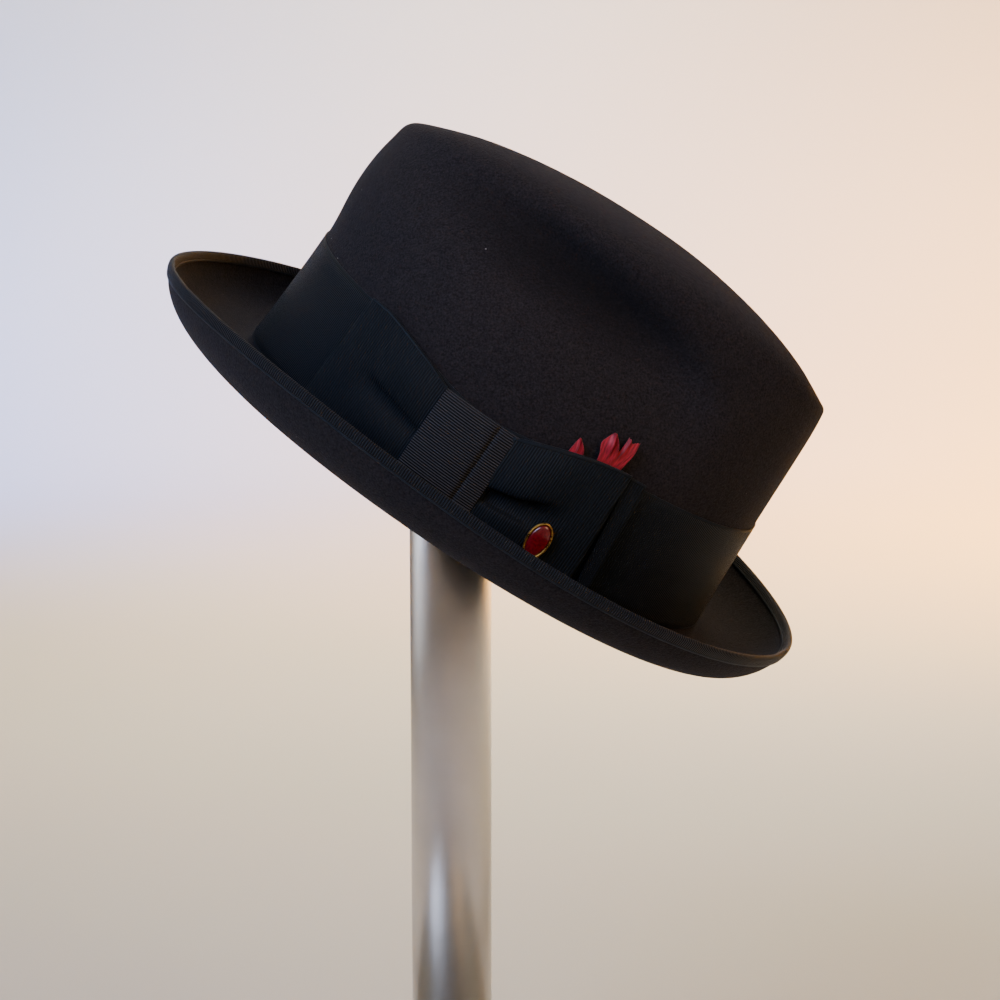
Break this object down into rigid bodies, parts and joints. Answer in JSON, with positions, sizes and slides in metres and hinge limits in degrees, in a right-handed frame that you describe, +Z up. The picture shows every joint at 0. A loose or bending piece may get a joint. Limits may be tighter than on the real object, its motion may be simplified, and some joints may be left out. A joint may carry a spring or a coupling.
{
  "type": "fedora on a display stand",
  "caption": "Dark felt fedora with pinched crown, curled bound brim, wide ribbon with flat bow, feather tips and pin, tipped on a plain chrome display stand.",
  "frame": {"origin": "on the floor, at the middle of the underside of the stand's foot", "axes": "+Z up along the stand's post, +X towards the low end of the hat, where the crown is pinched, and -Y towards the side with the bow"},
  "size_m": [0.2506, 0.2538, 0.4251],
  "materials": {
    "felt": "dense dark fur felt, brushed, with a faint soft sheen",
    "ribbon": "blue-black ribbed grosgrain",
    "knot_ribbon": "charcoal ribbed grosgrain, worn a little paler",
    "feather": "dyed crimson feather, satin",
    "gilt": "polished gilt",
    "enamel": "deep red glossy enamel",
    "chrome": "polished chrome plate"
  },
  "bodies": {
    "root": {"felt_body": "felt", "brim_binding": "ribbon", "crown_ribbon": "ribbon", "bow_back_wing": "ribbon", "bow_front_wing": "ribbon", "bow_tail": "ribbon", "bow_knot": "knot_ribbon", "feather_small": "feather", "feather_leaf": "feather", "feather_frayed": "feather", "pin_setting": "gilt", "pin_enamel": "enamel", "stand_foot": "chrome", "stand_post": "chrome"}
  },
  "joints": []
}
